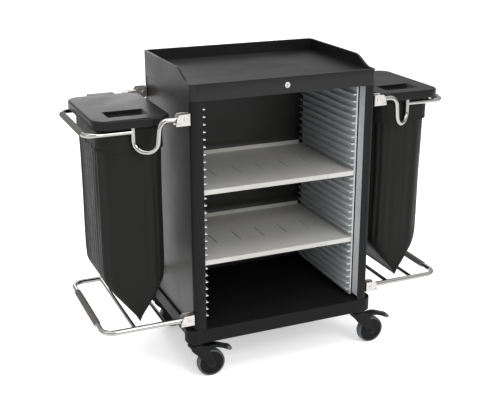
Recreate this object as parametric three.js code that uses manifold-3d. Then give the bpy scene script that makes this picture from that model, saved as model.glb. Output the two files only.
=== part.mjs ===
// Housekeeping cart: a cabinet on four casters with two sliding shelves, and at each end a
// fold-up hoop that carries a lidded waste bag above a fold-up bag support.
// Millimetres. X runs along the cart, Y from front to back, Z up from the floor.
import * as THREE from 'three';
import { mergeVertices } from 'three/addons/utils/BufferGeometryUtils.js';
import Module from 'manifold-3d';

const wasm = await Module();
wasm.setup();

// Cabinet
const HALF_WIDTH = 332;
const HALF_DEPTH = 246;
const CORNER_R = 18;
const BASE_HALF_WIDTH = 340;
const BASE_BOTTOM = 147;
const BASE_TOP = 197;
const FOOT = { x: 319, y: 208, radius: 38 };
const TRAY_BOTTOM = 988;
const TRAY_FLOOR = 1035;
const TRAY_FRONT_LIP = 1043;
const TRAY_TOP = 1075;
const TRAY_WALL = 9;
const FASCIA = 18;
const POST_INNER = 295;
const POST_DEPTH = 44;
const PANEL = 3;
const GAP = 0.3;

// Ribbed shelf rails
const RIB_FACE = 283;
const RIB_TIP = 268.7;
const RIB_PITCH = 25;
const RIB_COUNT = 30;
const RIB_TOP = 951;
const RIB_HALF_DEPTH = 203.5;

// Shelves
const SHELF_TOPS = { upper: 681, lower: 432 };
const SHELF_SHEET = 2.2;
const SHELF_FRONT = -208;
const SHELF_BACK = 196;
const SHELF_LIP = 17;
const SLOT_PITCH = 91;

// Fold-up frames: pivots, tube centres and radii
const PIVOT_X = 349;
const ARM_Y = 224.5;
const UPPER_PIVOT_Z = 932;
const UPPER_TUBE_R = 8;
const HOOP_Z = 896;
const HOOP_X = 655;
const HOOP_Y = 179;
const DIP_Z = 831;
const LOWER_PIVOT_Z = 238;
const LOWER_TUBE_R = 9;
const LOWER_BAR_X = 642;
const CROSS_BARS = [431, 536];
const GRIP_HALF = 140;

// Bag, collar and lid, all centred on BAG_X
const BAG_X = 500.5;
const COLLAR_HALF = [106.5, 162];
const COLLAR_BOTTOM = 866;
const COLLAR_TOP = 937.6;
const LID_HALF = [127.5, 193.5];
const LID_X = 503.5;
const LID_Y = -3.5;
const LID_BOTTOM = 911.6;
const LID_TOP = 941;
const HINGE_Y = 208;
const HINGE_Z = 925;

// Casters
const CASTER_X = 319;
const CASTER_Y = 206;
const TRAIL = 54;
const BRAKE_PIVOT = [29, 111];
const WHEEL_R = 50;

const FINISH = {
  blackPlastic: { color: 0x2b2b2c, roughness: 0.55, metalness: 0 },
  greyPanel: { color: 0x4a4948, roughness: 0.4, metalness: 0.1 },
  aluminium: { color: 0x9a9da0, roughness: 0.4, metalness: 0.8 },
  greySheet: { color: 0xa9a9a5, roughness: 0.5, metalness: 0.1 },
  chrome: { color: 0xd5d4d2, roughness: 0.12, metalness: 1 },
  zinc: { color: 0xcfccc8, roughness: 0.35, metalness: 0.9 },
  grip: { color: 0x4f4c4a, roughness: 0.8, metalness: 0 },
  tyre: { color: 0x4c5157, roughness: 0.85, metalness: 0 },
  bag: { color: 0x2a2a2a, roughness: 0.9, metalness: 0 },
};

const cart = new THREE.Group();
cart.name = 'housekeeping_cart';

function add(name, geometry, finish) {
  const mesh = new THREE.Mesh(geometry, new THREE.MeshStandardMaterial(FINISH[finish]));
  mesh.name = name;
  cart.add(mesh);
}

// Booleans -------------------------------------------------------------------------------

function solid(geometry) {
  const bare = geometry.clone();
  bare.deleteAttribute('normal');
  bare.deleteAttribute('uv');
  const merged = mergeVertices(bare, 1e-4);
  return new wasm.Manifold(new wasm.Mesh({
    numProp: 3,
    vertProperties: new Float32Array(merged.attributes.position.array),
    triVerts: new Uint32Array(merged.index.array),
  }));
}

function toGeometry(manifold) {
  const mesh = manifold.getMesh();
  const geometry = new THREE.BufferGeometry();
  geometry.setAttribute('position', new THREE.BufferAttribute(mesh.vertProperties, 3));
  geometry.setIndex(new THREE.BufferAttribute(mesh.triVerts, 1));
  geometry.computeVertexNormals();
  return geometry;
}

function shaped(joined, cuts = []) {
  let body = solid(joined[0]);
  for (const more of joined.slice(1)) body = body.add(solid(more));
  for (const cut of cuts) body = body.subtract(solid(cut));
  return toGeometry(body);
}

// Shapes ---------------------------------------------------------------------------------

function block(x, y, z) {
  const geometry = new THREE.BoxGeometry(x[1] - x[0], y[1] - y[0], z[1] - z[0]);
  return geometry.translate((x[0] + x[1]) / 2, (y[0] + y[1]) / 2, (z[0] + z[1]) / 2);
}

function outline(points) {
  return new THREE.Shape(points.map(([u, v]) => new THREE.Vector2(u, v)));
}

function ringPoints(halfX, halfY, radius, perCorner) {
  const points = [];
  const corners = [[1, 1], [-1, 1], [-1, -1], [1, -1]];
  corners.forEach(([sx, sy], quarter) => {
    for (let i = 0; i <= perCorner; i += 1) {
      const angle = (quarter + i / perCorner) * Math.PI / 2;
      points.push([
        sx * (halfX - radius) + radius * Math.cos(angle),
        sy * (halfY - radius) + radius * Math.sin(angle),
      ]);
    }
  });
  return points;
}

function roundedSlab(centreX, halfX, halfY, radius, z) {
  const points = ringPoints(halfX, halfY, radius, 4);
  return prismZ(points.map(([x, y]) => [x + centreX, y]), z);
}

function prismZ(points, z) {
  const geometry = new THREE.ExtrudeGeometry(outline(points), {
    depth: z[1] - z[0], bevelEnabled: false,
  });
  return geometry.translate(0, 0, z[0]);
}

// Points are (y, z); the prism runs along X.
function prismX(points, x) {
  const geometry = new THREE.ExtrudeGeometry(outline(points), {
    depth: x[1] - x[0], bevelEnabled: false,
  });
  const turn = new THREE.Matrix4().makeBasis(
    new THREE.Vector3(0, 1, 0), new THREE.Vector3(0, 0, 1), new THREE.Vector3(1, 0, 0),
  );
  return geometry.applyMatrix4(turn).translate(x[0], 0, 0);
}

// Points are (x, z); the prism runs along Y.
function prismY(points, y) {
  const geometry = new THREE.ExtrudeGeometry(outline(points), {
    depth: y[1] - y[0], bevelEnabled: false,
  });
  return geometry.rotateX(Math.PI / 2).translate(0, y[1], 0);
}

// A turned piece about the Y axis through (x, z), from (radius, y) points.
function turnedY(points, x, z, sides = 16) {
  const profile = points.map(([r, y]) => new THREE.Vector2(r, y));
  return new THREE.LatheGeometry(profile, sides).translate(x, 0, z);
}

function rodY(radius, y, x, z, sides = 12) {
  return turnedY([[0, y[0]], [radius, y[0]], [radius, y[1]], [0, y[1]]], x, z, sides);
}

function rodX(radius, x, y, z, sides = 12) {
  const profile = [[0, x[0]], [radius, x[0]], [radius, x[1]], [0, x[1]]];
  return turnedY(profile, 0, 0, sides).rotateZ(-Math.PI / 2).translate(0, y, z);
}

function turnedZ(points, x, y, sides = 16) {
  return turnedY(points, 0, 0, sides).rotateX(Math.PI / 2).translate(x, y, 0);
}

// A path through exact vertices, for bent tube.
class BentPath extends THREE.Curve {
  constructor(points) {
    super();
    this.points = points;
  }

  getSpacedPoints() {
    return this.points;
  }

  getTangentAt(u) {
    const last = this.points.length - 1;
    const i = Math.round(u * last);
    const sum = new THREE.Vector3();
    for (const [a, b] of [[i - 1, i], [i, i + 1]]) {
      if (a < 0 || b > last) continue;
      sum.add(this.points[b].clone().sub(this.points[a]).normalize());
    }
    return sum.normalize();
  }
}

// Rounds the inner corners of a polyline: corners are [x, y, z, bend radius].
function bend(corners, arcSteps = 4) {
  const at = corners.map(([x, y, z]) => new THREE.Vector3(x, y, z));
  const points = [at[0]];
  for (let i = 1; i < at.length - 1; i += 1) {
    const toward = at[i - 1].clone().sub(at[i]).normalize();
    const away = at[i + 1].clone().sub(at[i]).normalize();
    const half = toward.angleTo(away) / 2;
    const radius = corners[i][3];
    const bisector = toward.clone().add(away).normalize();
    const centre = at[i].clone().addScaledVector(bisector, radius / Math.sin(half));
    const from = at[i].clone().addScaledVector(toward, radius / Math.tan(half)).sub(centre);
    const axis = away.clone().cross(toward).normalize();
    for (let k = 0; k <= arcSteps; k += 1) {
      const turn = (Math.PI - 2 * half) * (k / arcSteps);
      points.push(from.clone().applyAxisAngle(axis, turn).add(centre));
    }
  }
  points.push(at[at.length - 1]);
  return points;
}

function tube(points, radius, sides = 8) {
  const section = ringPoints(radius, radius, radius, sides / 4).filter(
    (_, i) => i % (sides / 4 + 1) !== sides / 4,
  );
  return new THREE.ExtrudeGeometry(outline(section), {
    steps: points.length - 1, bevelEnabled: false, extrudePath: new BentPath(points),
  });
}

// Joins closed rings of equal length into one skin, with flat ends.
function loft(rings) {
  const count = rings[0].length;
  const positions = rings.flat(2);
  const index = [];
  for (let r = 0; r + 1 < rings.length; r += 1) {
    for (let i = 0; i < count; i += 1) {
      const a = r * count + i;
      const b = r * count + (i + 1) % count;
      index.push(a, b, b + count, a, b + count, a + count);
    }
  }
  const top = (rings.length - 1) * count;
  for (let i = 1; i + 1 < count; i += 1) {
    index.push(0, i + 1, i, top, top + i, top + i + 1);
  }
  const geometry = new THREE.BufferGeometry();
  geometry.setAttribute('position', new THREE.Float32BufferAttribute(positions, 3));
  geometry.setIndex(index);
  return geometry;
}

const mirrorX = (points, side) => points.map(([x, ...rest]) => [side * x, ...rest]);
const span = (side, near, far) => (side > 0 ? [near, far] : [-far, -near]);

// Cabinet --------------------------------------------------------------------------------

// A tray turned upside down, with a round foot that stands out at each corner over a caster.
function addBase() {
  const { x: footX, y: footY, radius } = FOOT;
  const outer = roundedSlab(0, BASE_HALF_WIDTH, HALF_DEPTH, radius, [BASE_BOTTOM, BASE_TOP]);
  const hollow = roundedSlab(
    0, BASE_HALF_WIDTH - 6, HALF_DEPTH - 6, radius - 6, [BASE_BOTTOM - 1, BASE_TOP - 6],
  );
  const underside = [BASE_BOTTOM + 3, BASE_TOP - 5];
  const added = [-120, 120].map((x) => block([x - 2, x + 2], [-241, 241], underside));
  const foot = [[0, BASE_BOTTOM], [radius, BASE_BOTTOM], [radius, BASE_TOP], [0, BASE_TOP]];
  for (const x of [-footX, footX]) {
    for (const y of [-footY, footY]) added.push(turnedZ(foot, x, y, 32));
  }
  let body = solid(outer).subtract(solid(hollow));
  for (const extra of added) body = body.add(solid(extra));
  add('base', toGeometry(body), 'blackPlastic');
}

// The outer corner is rounded. On a front post, a rebate takes the side panel's edge and a lip
// covers the front end of the rail strip.
function postOutline(end, rebate) {
  const arc = [];
  for (let i = 0; i <= 4; i += 1) {
    const angle = (i / 4) * Math.PI / 2;
    arc.push([
      HALF_WIDTH - CORNER_R + CORNER_R * Math.sin(angle),
      -end + CORNER_R - CORNER_R * Math.cos(angle),
    ]);
  }
  const inner = -end + POST_DEPTH;
  const step = -end + CORNER_R + 3;
  const side = HALF_WIDTH - rebate;
  const notch = rebate ? [[HALF_WIDTH, step], [side, step]] : [];
  const lip = rebate ? [[POST_INNER, -end + 3], [POST_INNER - 2.6, -end + 3]] : [];
  const start = rebate ? POST_INNER - 2.6 : POST_INNER;
  return [[start, -end], ...arc, ...notch, [side, inner], [POST_INNER, inner], ...lip];
}

function addPosts() {
  const z = [BASE_TOP + GAP, TRAY_BOTTOM - GAP];
  const front = postOutline(HALF_DEPTH - 1.5, PANEL + GAP);
  const back = postOutline(HALF_DEPTH, 0);
  const flip = (points) => points.map(([x, y]) => [x, -y]);
  for (const [name, side] of [['left', -1], ['right', 1]]) {
    add(`post_front_${name}`, prismZ(mirrorX(front, side), z), 'blackPlastic');
    add(`post_rear_${name}`, prismZ(mirrorX(flip(back), side), z), 'blackPlastic');
  }
}

function addPanels() {
  const z = [BASE_TOP + GAP, TRAY_BOTTOM - GAP];
  const front = -HALF_DEPTH + 1.5 + CORNER_R + 3 + GAP;
  const back = HALF_DEPTH - POST_DEPTH - GAP;
  for (const [name, side] of [['left', -1], ['right', 1]]) {
    const x = span(side, HALF_WIDTH - PANEL, HALF_WIDTH);
    add(`side_panel_${name}`, block(x, [front, back], z), 'greyPanel');
  }
  const reach = POST_INNER - 0.5;
  add('back_panel', block([-reach, reach], [238, 241], z), 'blackPlastic');
}

// A comb: the plate carries one horizontal rib per shelf height.
function ribProfile() {
  const points = [[RIB_FACE + 6, 985], [RIB_FACE, 985]];
  for (let k = 0; k < RIB_COUNT; k += 1) {
    const z = RIB_TOP - RIB_PITCH * k;
    points.push([RIB_FACE, z + 2.5], [RIB_TIP, z + 1.8], [RIB_TIP, z - 1.8], [RIB_FACE, z - 2.5]);
  }
  points.push([RIB_FACE, 205], [RIB_FACE + 6, 205]);
  return points;
}

function addRails() {
  for (const [name, side] of [['left', -1], ['right', 1]]) {
    const comb = prismY(mirrorX(ribProfile(), side), [-RIB_HALF_DEPTH, RIB_HALF_DEPTH]);
    add(`rib_panel_${name}`, comb, 'aluminium');
    const x = span(side, POST_INNER - 2.3, POST_INNER - GAP);
    const strip = block(x, [-HALF_DEPTH + 5, -RIB_HALF_DEPTH - 0.5], [212, 985]);
    add(`rail_strip_${name}`, strip, 'aluminium');
  }
}

function addShelf(name, top) {
  const sheet = [top - SHELF_SHEET, top];
  const plate = block([-282.3, 282.3], [-203.2, SHELF_BACK], sheet);
  const nose = block([-279, 279], [SHELF_FRONT, -203], sheet);
  const lip = block([-279, 279], [SHELF_FRONT, SHELF_FRONT + 2.5], [top - SHELF_LIP, top]);
  const rim = block([-263, 263], [SHELF_BACK - 2, SHELF_BACK], [top - 1, top + 14]);
  const slots = [-2, -1, 0, 1, 2].map((i) => {
    const x = i * SLOT_PITCH;
    return block([x - 1.5, x + 1.5], [-71, 23], [top - 10, top + 10]);
  });
  add(`shelf_${name}`, shaped([plate, nose, lip, rim], slots), 'greySheet');
}

// The rim is high at the back and sides, then falls in an S to the low front lip.
function trayRimCut() {
  const reach = HALF_DEPTH + 10;
  const points = [[-reach, TRAY_FRONT_LIP], [-205, TRAY_FRONT_LIP]];
  for (let i = 1; i < 10; i += 1) {
    const t = i / 10;
    const rise = t * t * (3 - 2 * t);
    points.push([-205 + 100 * t, TRAY_FRONT_LIP + (TRAY_TOP - TRAY_FRONT_LIP) * rise]);
  }
  points.push([-105, TRAY_TOP + 0.01], [-105, TRAY_TOP + 20], [-reach, TRAY_TOP + 20]);
  return prismX(points, [-HALF_WIDTH - 10, HALF_WIDTH + 10]);
}

function addTray() {
  const outer = roundedSlab(0, HALF_WIDTH, HALF_DEPTH, CORNER_R, [TRAY_BOTTOM, TRAY_TOP]);
  const basin = roundedSlab(
    0, HALF_WIDTH - TRAY_WALL, HALF_DEPTH - TRAY_WALL, CORNER_R - 5, [TRAY_FLOOR, TRAY_TOP + 5],
  );
  const under = roundedSlab(
    0, HALF_WIDTH - FASCIA, HALF_DEPTH - FASCIA, 6, [TRAY_BOTTOM - 5, TRAY_FLOOR - 5],
  );
  const bore = rodY(8.6, [-HALF_DEPTH - 5, -HALF_DEPTH + 30], 0, 1016);
  add('tray', shaped([outer], [trayRimCut(), basin, under, bore]), 'blackPlastic');
}

// The barrel turns a cam behind the fascia.
function addLock() {
  const front = -HALF_DEPTH;
  const barrel = turnedY([
    [0, front - 1], [9, front - 1], [10, front - GAP], [8, front - GAP],
    [8, front + FASCIA + 1], [0, front + FASCIA + 1],
  ], 0, 1016);
  const cam = block([-9, 9], [front + FASCIA + 0.6, front + FASCIA + 3], [994, 1024]);
  add('lock_barrel', shaped([barrel, cam]), 'zinc');
}

// Casters --------------------------------------------------------------------------------

function addCaster(name, x, y, braked) {
  const plate = block([x - 26, x + 26], [y - 26, y + 26], [143.7, 146.7]);
  const race = turnedZ([[0, 115.5], [9, 115.5], [9, 119], [5, 119], [5, 133.3], [21, 133.3],
    [25, 137], [25, 144], [0, 144]], x, y);
  add(`caster_${name}_mount`, shaped([plate, race]), 'blackPlastic');

  const axleX = x + TRAIL;
  const crown = turnedZ([[0, 120], [23, 120], [26, 127], [26, 133], [0, 133]], x, y);
  const deck = block([x - 12, x + 22], [y - 21.5, y + 21.5], [120, 126]);
  const leg = [[-24, 126], [-20, 112], [-2, 94], [26, 60], [42, 43], [48, 37], [56, 35.5],
    [64, 40], [68, 48], [65, 58], [37, 121], [32, 126]].map(([u, z]) => [x + u, z]);
  const legs = [-20, 20].map((side) => prismY(leg, [y + side - 1.5, y + side + 1.5]));
  const [pivotX, pivotZ] = BRAKE_PIVOT;
  const bores = [
    turnedZ([[0, 110], [5.3, 110], [5.3, 140], [0, 140]], x, y),
    rodY(5.3, [y - 30, y + 30], axleX, WHEEL_R),
    rodY(3.3, [y - 30, y + 30], x + pivotX, pivotZ),
  ];
  add(`caster_${name}_fork`, shaped([crown, deck, ...legs], bores), 'blackPlastic');

  const hub = [[5.2, y - 16.5], [12, y - 16.5], [14, y - 11.5], [42.4, y - 11.5],
    [42.4, y + 11.5], [14, y + 11.5], [12, y + 16.5], [5.2, y + 16.5]];
  add(`caster_${name}_wheel`, turnedY([...hub, hub[0]], axleX, WHEEL_R, 24), 'blackPlastic');

  const tread = [[43.2, y - 12.5], [47.5, y - 12.5], [WHEEL_R, y - 7], [WHEEL_R, y + 7],
    [47.5, y + 12.5], [43.2, y + 12.5]];
  add(`caster_${name}_tyre`, turnedY([...tread, tread[0]], axleX, WHEEL_R, 24), 'tyre');

  const axle = turnedY([[0, y - 25], [8, y - 25], [8, y - 21.8], [4.9, y - 21.8],
    [4.9, y + 21.8], [8, y + 21.8], [8, y + 25], [0, y + 25]], axleX, WHEEL_R, 12);
  add(`caster_${name}_axle`, axle, 'zinc');
  if (braked) addBrake(name, x, y);
}

// A foot pedal that arches over the wheel and presses on the tyre.
function addBrake(name, x, y) {
  const side = [[22, 106], [40, 105], [60, 107.5], [76, 106], [94, 100], [108, 93], [118, 88],
    [126, 86], [130, 90], [129, 97], [118, 102], [98, 110], [80, 117], [62, 120.5], [40, 118.6],
    [24, 118]];
  const arm = prismY(side.map(([u, z]) => [x + u, z]), [y - 14, y + 14]);
  const pin = rodY(3, [y - 21, y + 21], x + BRAKE_PIVOT[0], BRAKE_PIVOT[1], 12);
  add(`caster_${name}_brake_pedal`, shaped([arm, pin]), 'blackPlastic');
}

// Fold-up frames -------------------------------------------------------------------------

// A pressed channel with its riveted pin; its web is the stop that the tube rests on.
function addBracket(name, side, end, pivotZ, tubeR) {
  const cheek = mirrorX([[332.3, pivotZ - 19], [380, pivotZ - 19], [380, pivotZ - 14],
    [375, pivotZ + 9], [368, pivotZ + 18], [332.3, pivotZ + 18]], side);
  const y = (near, far) => (end < 0 ? [-far, -near] : [near, far]);
  const outer = prismY(cheek, y(237.5, 240));
  const inner = prismY(cheek, y(209, 211.5));
  const plate = block(span(side, 332.3, 334.8), y(209, 240), [pivotZ - 19, pivotZ + 18]);
  const stop = [pivotZ - tubeR - 3, pivotZ - tubeR - GAP];
  const web = block(span(side, 362, 377), y(209, 240), stop);
  const pin = rodY(4, y(207, 242), side * PIVOT_X, pivotZ, 8);
  const heads = [y(206, 209.5), y(239.5, 243)].map(
    (reach) => rodY(6.5, reach, side * PIVOT_X, pivotZ, 8),
  );
  add(name, shaped([plate, outer, inner, web, pin, ...heads]), 'zinc');
}

function pivotBore(side, z) {
  return rodY(4.5, [-HALF_DEPTH, HALF_DEPTH], side * PIVOT_X, z, 8);
}

// Each arm leaves its pivot level, dips in a U that slants inward, and rises to a stub; the
// hoop joins the two stubs.
function addUpperFrame(name, side) {
  const arm = (end) => bend([
    [PIVOT_X - 7.5, ARM_Y * end, UPPER_PIVOT_Z],
    [428, ARM_Y * end, UPPER_PIVOT_Z + 1, 30],
    [438, 222 * end, DIP_Z, 38],
    [502, HOOP_Y * end, DIP_Z, 38],
    [502, HOOP_Y * end, 911],
  ].map(([x, ...rest]) => [side * x, ...rest]), 5);
  const hoop = bend([
    [502, -HOOP_Y, HOOP_Z],
    [HOOP_X, -HOOP_Y, HOOP_Z, 36],
    [HOOP_X, HOOP_Y, HOOP_Z, 36],
    [502, HOOP_Y, HOOP_Z],
  ].map(([x, ...rest]) => [side * x, ...rest]));
  const tubes = [arm(-1), arm(1), hoop].map((path) => tube(path, UPPER_TUBE_R));
  const bore = pivotBore(side, UPPER_PIVOT_Z);
  add(`upper_frame_${name}`, shaped(tubes, [bore]), 'chrome');
  addGrip(`upper_grip_${name}`, side * HOOP_X, HOOP_Z, UPPER_TUBE_R, 11);
}

function addLowerFrame(name, side) {
  const z = LOWER_PIVOT_Z;
  const loop = bend([
    [PIVOT_X - 7.5, -ARM_Y, z],
    [LOWER_BAR_X, -ARM_Y, z, 40],
    [LOWER_BAR_X, ARM_Y, z, 40],
    [PIVOT_X - 7.5, ARM_Y, z],
  ].map(([x, ...rest]) => [side * x, ...rest]));
  const bars = CROSS_BARS.map((x) => rodY(7, [-ARM_Y, ARM_Y], side * x, z, 12));
  const frame = shaped([tube(loop, LOWER_TUBE_R), ...bars], [pivotBore(side, z)]);
  add(`lower_frame_${name}`, frame, 'chrome');
  addGrip(`lower_grip_${name}`, side * LOWER_BAR_X, z, LOWER_TUBE_R, 12);
}

function addGrip(name, x, z, tubeR, gripR) {
  const inner = tubeR + GAP;
  const sleeve = [[inner, -GRIP_HALF], [gripR - 1, -GRIP_HALF], [gripR, -GRIP_HALF + 2],
    [gripR, GRIP_HALF - 2], [gripR - 1, GRIP_HALF], [inner, GRIP_HALF]];
  add(name, turnedY([...sleeve, sleeve[0]], x, z, 16), 'grip');
}

// Collar, lid and bag --------------------------------------------------------------------

// The collar hangs in the hoop by its side flanges and carries the lid's hinge pin.
function addCollar(name, side) {
  const centre = side * BAG_X;
  const [halfX, halfY] = COLLAR_HALF;
  const outer = roundedSlab(centre, halfX, halfY, 54, [COLLAR_BOTTOM, COLLAR_TOP]);
  const flange = block([centre - 90, centre + 90], [-183, 183], [904.3, 907.3]);
  const hingeX = side * LID_X;
  const ears = [-54, 54].map((x) => prismX([[155, 904.6], [214, 904.6], [217, 908], [217, 925],
    [212, 933], [204, 933], [199, 927], [199, 911], [155, 911]], [hingeX + x - 5, hingeX + x + 5]));
  const pin = rodX(3, [hingeX - 55, hingeX + 55], HINGE_Y, HINGE_Z, 12);
  const mouth = roundedSlab(centre, halfX - 3, halfY - 3, 51, [COLLAR_BOTTOM - 5, COLLAR_TOP + 5]);
  const stub = side * 502;
  const notches = [-1, 1].map((end) => block(
    [stub - 10, stub + 10], span(end, halfY + 1, 190), [900, 911.3],
  ));
  const collar = shaped([outer, flange, ...ears, pin], [mouth, ...notches]);
  add(`bag_collar_${name}`, collar, 'blackPlastic');
}

function addLid(name, side) {
  const centre = side * LID_X;
  const [halfX, halfY] = LID_HALF;
  const outer = roundedSlab(centre, halfX, halfY, 46, [LID_BOTTOM, LID_TOP]);
  const hollow = roundedSlab(centre, halfX - 3, halfY - 3, 43, [LID_BOTTOM - 5, LID_TOP - 3]);
  const shell = solid(outer).subtract(solid(hollow)).translate(0, LID_Y, 0);
  const well = block([centre - 72, centre + 70], [-151, -66], [LID_TOP - 17, LID_TOP - 1]);
  const recess = prismY([[centre - 68, LID_TOP + 2], [centre - 68, LID_TOP - 14],
    [centre + 51, LID_TOP - 14], [centre + 66, LID_TOP], [centre + 66, LID_TOP + 2]], [-147, -70]);
  const knuckle = rodX(8, [centre - 47, centre + 47], HINGE_Y, HINGE_Z);
  const cover = block([centre - 47, centre + 47], [187, 216], [HINGE_Z, LID_TOP]);
  const bore = rodX(3.3, [centre - 60, centre + 60], HINGE_Y, HINGE_Z);
  const body = shell.add(solid(well)).add(solid(knuckle)).add(solid(cover))
    .subtract(solid(recess)).subtract(solid(bore));
  add(`lid_${name}`, toGeometry(body), 'blackPlastic');
}

// Heights with the bag's centre, half width and corner radius; it narrows to a seam that
// runs from front to back.
const BAG_SECTIONS = [
  [232, 500, 2, 2], [250, 500, 11, 6], [277, 500, 33, 14], [303, 500, 54, 24],
  [326, 500.5, 73, 34], [350, 500.5, 91, 44], [370, 500.5, 102, 52], [392, 500.5, 107.5, 58],
  [430, 500.5, 109.5, 60], [620, 500.5, 109.5, 60], [903.6, 500.5, 109.5, 48],
];

function addBag(name, side) {
  const skin = 2.6;
  const ring = ([z, x, halfX, radius], inset) => {
    const r = Math.max(radius - inset, 0.5);
    return ringPoints(halfX - inset, 166 - inset, r, 3).map(([u, v]) => [side * x + u, v, z]);
  };
  const outer = BAG_SECTIONS.map((section) => ring(section, 0));
  const inner = BAG_SECTIONS.slice(1).reverse().map(([z, ...rest], i) => (
    ring([i === 0 ? z : z + 1, ...rest], skin)
  ));
  add(`bag_${name}`, loft([...outer, ...inner]), 'bag');
}

addBase();
addPosts();
addPanels();
addRails();
addShelf('upper', SHELF_TOPS.upper);
addShelf('lower', SHELF_TOPS.lower);
addTray();
addLock();
for (const [end, y, braked] of [['front', -CASTER_Y, true], ['rear', CASTER_Y, false]]) {
  addCaster(`${end}_left`, -CASTER_X, y, braked);
  addCaster(`${end}_right`, CASTER_X, y, braked);
}
for (const [name, side] of [['left', -1], ['right', 1]]) {
  for (const [end, y] of [['front', -1], ['rear', 1]]) {
    addBracket(`upper_bracket_${end}_${name}`, side, y, UPPER_PIVOT_Z, UPPER_TUBE_R);
    addBracket(`lower_bracket_${end}_${name}`, side, y, LOWER_PIVOT_Z, LOWER_TUBE_R);
  }
  addUpperFrame(name, side);
  addLowerFrame(name, side);
  addCollar(name, side);
  addLid(name, side);
  addBag(name, side);
}

export default cart;
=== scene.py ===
"""A housekeeping cart: cabinet, shelves, casters, and a lidded waste bag on a hoop at each end.

Shapes are worked out in millimetres and turned to metres as each piece is made.
X runs along the cart, Y from front to back, Z up from the floor.
"""

import math

import bmesh
import bpy
from mathutils import Matrix, Vector, noise


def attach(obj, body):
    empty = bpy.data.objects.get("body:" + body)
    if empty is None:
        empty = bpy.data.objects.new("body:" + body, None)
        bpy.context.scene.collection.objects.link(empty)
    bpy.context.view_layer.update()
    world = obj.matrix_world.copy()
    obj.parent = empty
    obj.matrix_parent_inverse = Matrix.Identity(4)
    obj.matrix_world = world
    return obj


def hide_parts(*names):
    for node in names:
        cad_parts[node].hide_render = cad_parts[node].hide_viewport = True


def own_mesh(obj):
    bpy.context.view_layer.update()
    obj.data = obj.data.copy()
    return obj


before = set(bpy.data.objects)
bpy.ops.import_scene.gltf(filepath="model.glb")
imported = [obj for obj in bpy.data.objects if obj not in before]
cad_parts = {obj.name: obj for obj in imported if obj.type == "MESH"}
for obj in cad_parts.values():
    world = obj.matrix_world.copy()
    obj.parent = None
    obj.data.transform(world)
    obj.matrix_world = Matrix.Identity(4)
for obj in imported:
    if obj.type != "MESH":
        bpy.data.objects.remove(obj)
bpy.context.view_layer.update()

MM = 0.001
ENDS = {"front": -1, "rear": 1}
SIDES = {"left": -1, "right": 1}

# Cabinet
HALF_WIDTH = 332
HALF_DEPTH = 246
BASE_HALF_WIDTH = 340
BASE_Z = (147, 197)
FOOT = (319, 208)
FOOT_R = 38
POST_Z = (197.3, 987.7)
POST_FACE = -244.5
POST_INSIDE = 295
TRAY_BOTTOM = 988
TRAY_FLOOR = 1035
TRAY_LIP = 1043
TRAY_TOP = 1075
TRAY_CURVE = (-205, -105)
RAIL_TOP = 985
RAIL_Y = (-203.5, 203.5)
RIB_TOP = 951
RIB_PITCH = 25
RIB_COUNT = 30
SHELF_TOPS = {"upper": 681, "lower": 432}
SHELF_HALF_LENGTH = 282.3
SHELF_LIP_Y = -203.2
SHELF_END_X = 279
SLOT_PITCH = 91
SLOT_Y = (-71, 23)

# Fold-up frames
PIVOT_X = 349
ARM_START_X = PIVOT_X - 7.5
ARM_Y = 224.5
UPPER_Z = 932
UPPER_TUBE_R = 8
HOOP = (655, 179, 896)
DIP_Z = 831
STUB_X = 502
LOWER_Z = 238
LOWER_TUBE_R = 9
LOWER_BAR_X = 642
CROSS_BARS = (431, 536)
CROSS_BAR_R = 7
GRIP_HALF = 140

# Bag and lid
BAG_X = 500.5
BAG_HALF_WIDTH = 109.5
BAG_HALF_DEPTH = 166
BAG_STEPS = 220
CUFF_HEM = 829
COLLAR_HALF = (106.5, 162)
COLLAR_Z = (866, 937.6)
LID_X = 503.5
LID_HALF_WIDTH = 127.5
LID_BOTTOM = 911.6
LID_TOP = 941
RECESS_X = (-68, 66)
RECESS_Y = (-147, -70)
RECESS_RAMP_X = 51
RECESS_DEPTH = 14
RECESS_WALL = 4
HINGE = (208, 925)

# Casters
CASTER = (319, 206)
TRAIL = 54
BRAKE_PIVOT = (29, 111)
WHEEL_R = 50


# Camera and light --------------------------------------------------------------------------


def add_camera():
    data = bpy.data.cameras.new("camera")
    data.lens = 66.1
    data.clip_end = 400
    camera = bpy.data.objects.new("camera", data)
    camera.location = (-1.2728, -2.8789, 1.6305)
    camera.rotation_euler = (math.pi / 2 - 0.332, 0, -0.4087)
    bpy.context.scene.collection.objects.link(camera)
    bpy.context.scene.camera = camera


def add_softbox(name, place, target, size, watts):
    data = bpy.data.lights.new(name, "AREA")
    data.shape = "RECTANGLE"
    data.size, data.size_y = size
    data.energy = watts
    lamp = bpy.data.objects.new(name, data)
    lamp.visible_camera = False
    lamp.location = place
    facing = Vector(target) - Vector(place)
    lamp.rotation_euler = facing.to_track_quat("-Z", "Y").to_euler()
    bpy.context.scene.collection.objects.link(lamp)


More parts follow.
